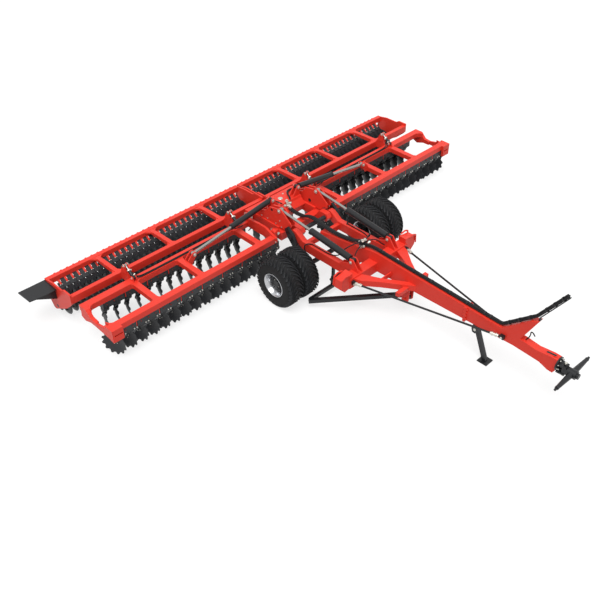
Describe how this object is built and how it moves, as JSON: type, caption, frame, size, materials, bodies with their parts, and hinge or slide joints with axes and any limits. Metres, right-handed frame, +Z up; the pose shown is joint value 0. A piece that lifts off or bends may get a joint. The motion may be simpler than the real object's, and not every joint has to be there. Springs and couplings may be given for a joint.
{
  "type": "trailed disc harrow",
  "caption": "Large trailed disc harrow with two folding wings of notched discs, ring rollers behind them, twin transport wheels and a long drawbar with a cross-shaft hitch.",
  "frame": {"origin": "middle of the hitch cross shaft, on the hitch's roll axis", "axes": "+X to the machine's left along the wings, +Y rearwards, +Z up"},
  "size_m": [12.17, 10.15, 2.6619],
  "materials": {
    "red_paint": "gloss",
    "dark_steel": "satin",
    "black_paint": "satin",
    "rod_chrome": "polished",
    "rim_paint": "satin",
    "tyre": "matte",
    "hose_rubber": "matte"
  },
  "bodies": {
    "chassis": {"chassis_frame": "red_paint", "pivot_shaft": "dark_steel", "drawbar_rear": "red_paint", "drawbar_front": "red_paint", "hitch_flange": "dark_steel", "stay_rods": "dark_steel", "low_frame": "black_paint", "drawbar_hoses": "hose_rubber", "hose_arm": "black_paint", "valve_block": "black_paint"},
    "tool_frame": {"turret_frame": "red_paint", "disc_row_centre": "dark_steel", "disc_arms_centre": "dark_steel"},
    "tilt_barrels": {"tilt_barrels": "black_paint"},
    "tilt_rods": {"tilt_rods": "rod_chrome"},
    "axle_arms": {"axle_arms": "black_paint"},
    "lift_barrel": {"lift_barrel": "black_paint"},
    "lift_rod": {"lift_rod": "rod_chrome"},
    "hitch_link": {"hitch_link": "dark_steel"},
    "cross_shaft": {"cross_shaft": "dark_steel"},
    "jack_leg": {"jack_leg": "dark_steel"},
    "wing_right": {"disc_frame_right": "red_paint", "disc_row_front_right": "dark_steel", "disc_row_rear_right": "dark_steel", "disc_arms_front_right": "dark_steel", "disc_arms_rear_right": "dark_steel"},
    "roller_frame_right": {"roller_frame_right": "red_paint", "scrapers_right": "dark_steel", "side_board": "black_paint"},
    "roller_right": {"roller_right": "dark_steel"},
    "fold_barrel_right": {"fold_barrel_right": "black_paint"},
    "fold_rod_right": {"fold_rod_right": "rod_chrome"},
    "depth_barrels_right": {"depth_barrels_right": "black_paint"},
    "depth_rods_right": {"depth_rods_right": "rod_chrome"},
    "wheels_right": {"tyres_right": "tyre", "rims_right": "rim_paint"},
    "wing_left": {"disc_frame_left": "red_paint", "disc_row_front_left": "dark_steel", "disc_row_rear_left": "dark_steel", "disc_arms_front_left": "dark_steel", "disc_arms_rear_left": "dark_steel"},
    "roller_frame_left": {"roller_frame_left": "red_paint", "scrapers_left": "dark_steel"},
    "roller_left": {"roller_left": "dark_steel"},
    "fold_barrel_left": {"fold_barrel_left": "black_paint"},
    "fold_rod_left": {"fold_rod_left": "rod_chrome"},
    "depth_barrels_left": {"depth_barrels_left": "black_paint"},
    "depth_rods_left": {"depth_rods_left": "rod_chrome"},
    "wheels_left": {"tyres_left": "tyre", "rims_left": "rim_paint"}
  },
  "joints": [
    {"name": "tilt", "type": "hinge", "parent": "chassis", "child": "tool_frame", "pos_m": [0, 7.11, 0.1], "axis": [1, 0, 0], "range_deg": [0, 90]},
    {"name": "tilt_barrel_turn", "type": "hinge", "parent": "chassis", "child": "tilt_barrels", "pos_m": [0, 5.24, 0.3], "axis": [1, 0, 0], "range_deg": [-2, 7.12]},
    {"name": "tilt_rod_slide", "type": "slide", "parent": "tilt_barrels", "child": "tilt_rods", "axis": [0, 0.9945, 0.1049], "range_m": [-0.9187, 0.005]},
    {"name": "lift", "type": "hinge", "parent": "chassis", "child": "axle_arms", "pos_m": [0, 7.11, 0.1], "axis": [1, 0, 0], "range_deg": [0, 18]},
    {"name": "lift_barrel_turn", "type": "hinge", "parent": "chassis", "child": "lift_barrel", "pos_m": [0.3, 5.4, -0.1], "axis": [1, 0, 0], "range_deg": [-7.77, 1]},
    {"name": "lift_rod_slide", "type": "slide", "parent": "lift_barrel", "child": "lift_rod", "axis": [0, 0.9987, -0.0517], "range_m": [-0.003, 0.1292]},
    {"name": "fold_right", "type": "hinge", "parent": "tool_frame", "child": "wing_right", "pos_m": [-0.9, 8, 0.09], "axis": [0, 1, 0], "range_deg": [0, 90]},
    {"name": "fold_barrel_turn_right", "type": "hinge", "parent": "tool_frame", "child": "fold_barrel_right", "pos_m": [-0.44, 8.16, 0.497], "axis": [0, 1, 0], "range_deg": [-1, 84.93]},
    {"name": "fold_rod_slide_right", "type": "slide", "parent": "fold_barrel_right", "child": "fold_rod_right", "axis": [-0.9898, 0, -0.1425], "range_m": [-0.8463, 0.005]},
    {"name": "depth_right", "type": "hinge", "parent": "wing_right", "child": "roller_frame_right", "pos_m": [-2.865, 8.61, -0.1], "axis": [1, 0, 0], "range_deg": [-8, 8]},
    {"name": "depth_barrel_turn_right", "type": "hinge", "parent": "wing_right", "child": "depth_barrels_right", "pos_m": [-2.865, 8.42, 0.1], "axis": [1, 0, 0], "range_deg": [-9, 9]},
    {"name": "depth_rod_slide_right", "type": "slide", "parent": "depth_barrels_right", "child": "depth_rods_right", "axis": [0, 0.8036, 0.5952], "range_m": [-0.045, 0.045]},
    {"name": "roller_spin_right", "type": "hinge", "parent": "roller_frame_right", "child": "roller_right", "pos_m": [-2.885, 9.63, -0.65], "axis": [1, 0, 0], "continuous": true},
    {"name": "wheel_spin_right", "type": "hinge", "parent": "axle_arms", "child": "wheels_right", "pos_m": [-1.5225, 6.447, -0.354], "axis": [1, 0, 0], "continuous": true},
    {"name": "fold_left", "type": "hinge", "parent": "tool_frame", "child": "wing_left", "pos_m": [0.9, 8, 0.09], "axis": [0, -1, 0], "range_deg": [0, 90]},
    {"name": "fold_barrel_turn_left", "type": "hinge", "parent": "tool_frame", "child": "fold_barrel_left", "pos_m": [0.44, 8.16, 0.497], "axis": [0, -1, 0], "range_deg": [-1, 84.93]},
    {"name": "fold_rod_slide_left", "type": "slide", "parent": "fold_barrel_left", "child": "fold_rod_left", "axis": [0.9898, 0, -0.1425], "range_m": [-0.8463, 0.005]},
    {"name": "depth_left", "type": "hinge", "parent": "wing_left", "child": "roller_frame_left", "pos_m": [2.865, 8.61, -0.1], "axis": [1, 0, 0], "range_deg": [-8, 8]},
    {"name": "depth_barrel_turn_left", "type": "hinge", "parent": "wing_left", "child": "depth_barrels_left", "pos_m": [2.865, 8.42, 0.1], "axis": [1, 0, 0], "range_deg": [-9, 9]},
    {"name": "depth_rod_slide_left", "type": "slide", "parent": "depth_barrels_left", "child": "depth_rods_left", "axis": [0, 0.8036, 0.5952], "range_m": [-0.045, 0.045]},
    {"name": "roller_spin_left", "type": "hinge", "parent": "roller_frame_left", "child": "roller_left", "pos_m": [2.885, 9.63, -0.65], "axis": [1, 0, 0], "continuous": true},
    {"name": "wheel_spin_left", "type": "hinge", "parent": "axle_arms", "child": "wheels_left", "pos_m": [1.5225, 6.447, -0.354], "axis": [1, 0, 0], "continuous": true},
    {"name": "hitch_yaw", "type": "hinge", "parent": "chassis", "child": "hitch_link", "pos_m": [0, 0.17, 0], "axis": [0, 0, 1], "range_deg": [-60, 60]},
    {"name": "hitch_roll", "type": "hinge", "parent": "hitch_link", "child": "cross_shaft", "pos_m": [0, 0, 0], "axis": [0, 1, 0], "range_deg": [-20, 20]},
    {"name": "jack", "type": "hinge", "parent": "chassis", "child": "jack_leg", "pos_m": [0, 2.215, -0.2], "axis": [1, 0, 0], "range_deg": [0, 90]}
  ],
  "couplings": [
    {"joint": "tilt_barrel_turn", "follows": "tilt", "ratio": 0.05683},
    {"joint": "tilt_rod_slide", "follows": "tilt", "m_per_rad": -0.58171},
    {"joint": "lift_barrel_turn", "follows": "lift", "ratio": -0.3759},
    {"joint": "lift_rod_slide", "follows": "lift", "m_per_rad": 0.39533},
    {"joint": "fold_barrel_turn_right", "follows": "fold_right", "ratio": 0.93255},
    {"joint": "fold_rod_slide_right", "follows": "fold_right", "m_per_rad": -0.53557},
    {"joint": "depth_barrel_turn_right", "follows": "depth_right", "ratio": 0.90538},
    {"joint": "depth_rod_slide_right", "follows": "depth_right", "m_per_rad": -0.27315},
    {"joint": "fold_barrel_turn_left", "follows": "fold_left", "ratio": 0.93255},
    {"joint": "fold_rod_slide_left", "follows": "fold_left", "m_per_rad": -0.53557},
    {"joint": "depth_barrel_turn_left", "follows": "depth_left", "ratio": 0.90538},
    {"joint": "depth_rod_slide_left", "follows": "depth_left", "m_per_rad": -0.27315}
  ]
}
